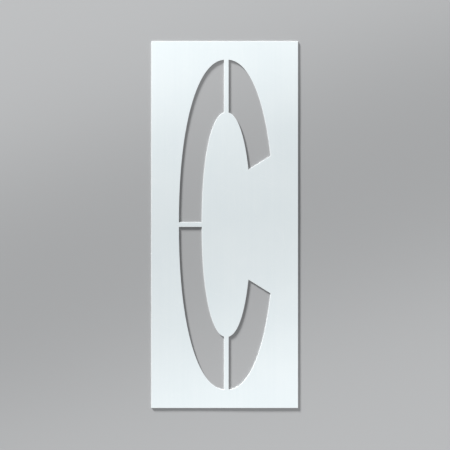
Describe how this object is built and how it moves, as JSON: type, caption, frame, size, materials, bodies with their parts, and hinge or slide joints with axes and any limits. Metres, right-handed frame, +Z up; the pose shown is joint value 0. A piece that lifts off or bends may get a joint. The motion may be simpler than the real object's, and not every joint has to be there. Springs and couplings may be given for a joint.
{
  "type": "road marking stencil",
  "caption": "Flat white plastic sheet stencil with a tall, narrow letter C cut through it, its counter held by slim bridges, for painting letters on roads.",
  "frame": {"origin": "middle of the sheet's underside", "axes": "+X across the sheet towards the letter's mouth, +Y along it towards the letter's crown, +Z up"},
  "size_m": [0.8126, 2.032, 0.0032],
  "materials": {
    "sheet": "satin cool white polyethylene sheet with cut edges"
  },
  "bodies": {
    "root": {"border": "sheet", "counter": "sheet", "top_bridge": "sheet", "left_bridge": "sheet", "bottom_bridge": "sheet"}
  },
  "joints": []
}
